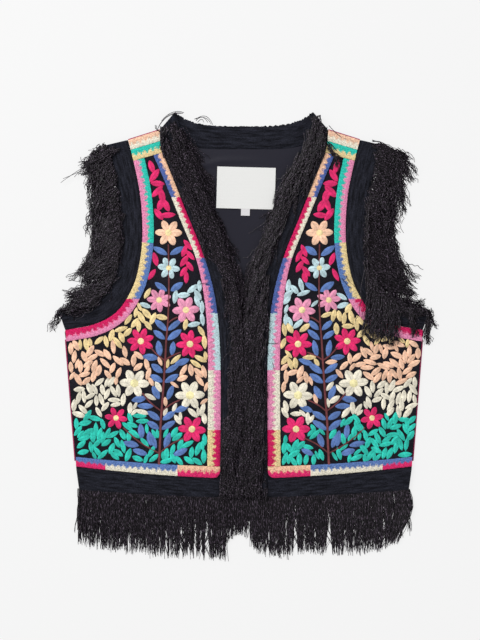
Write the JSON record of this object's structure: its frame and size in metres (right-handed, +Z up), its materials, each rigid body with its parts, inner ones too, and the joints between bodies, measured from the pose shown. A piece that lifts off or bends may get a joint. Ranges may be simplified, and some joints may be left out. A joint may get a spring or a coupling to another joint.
{
  "type": "fringe vest",
  "caption": "Short sleeveless folk vest laid flat, embroidered dark fronts with bright trims, knitted bands and long fringe.",
  "frame": {"origin": "middle of the vest's outline, on the surface that it lies on", "axes": "+X to the viewer's right, +Y from hem to neck, +Z up off the surface"},
  "size_m": [0.4816, 0.5548, 0.0098],
  "materials": {
    "ground_wool": "matte black wool felt",
    "lining_satin": "dark navy satin",
    "knit_band": "matte knitted braid",
    "fringe_yarn": "soft shiny viscose fringe",
    "pink_yarn": "woollen yarn",
    "blue_yarn": "woollen yarn",
    "peach_yarn": "woollen yarn",
    "green_yarn": "woollen yarn",
    "magenta_yarn": "woollen yarn",
    "label_cloth": "bare white woven label"
  },
  "bodies": {
    "root": {"back_panel": "ground_wool", "back_lining": "lining_satin", "back_neck_band": "knit_band", "back_hem_band": "knit_band", "back_armhole_band_left": "knit_band", "back_armhole_band_right": "knit_band", "back_side_edging_left": "magenta_yarn", "back_side_edging_right": "magenta_yarn", "back_shoulder_turn_left": "ground_wool", "back_shoulder_turn_right": "ground_wool", "back_shoulder_trim_left": "peach_yarn", "back_shoulder_trim_right": "peach_yarn", "front_panel_left": "ground_wool", "front_panel_right": "ground_wool", "front_shoulder_trim_left": "green_yarn", "front_shoulder_trim_right": "green_yarn", "armhole_trim_left": "pink_yarn", "armhole_trim_right": "pink_yarn", "front_trim_left": "blue_yarn", "front_trim_right": "blue_yarn", "hem_trim_left": "pink_yarn", "hem_trim_right": "pink_yarn", "front_band_left": "knit_band", "front_band_right": "knit_band", "armhole_band_left": "knit_band", "armhole_band_right": "knit_band", "hem_band_left": "knit_band", "hem_band_right": "knit_band", "front_fringe_left": "fringe_yarn", "front_fringe_right": "fringe_yarn", "armhole_fringe_left": "fringe_yarn", "armhole_fringe_right": "fringe_yarn", "hem_fringe_left": "fringe_yarn", "hem_fringe_right": "fringe_yarn", "back_hem_fringe": "fringe_yarn", "neck_label": "label_cloth", "size_tab": "label_cloth"}
  },
  "joints": []
}
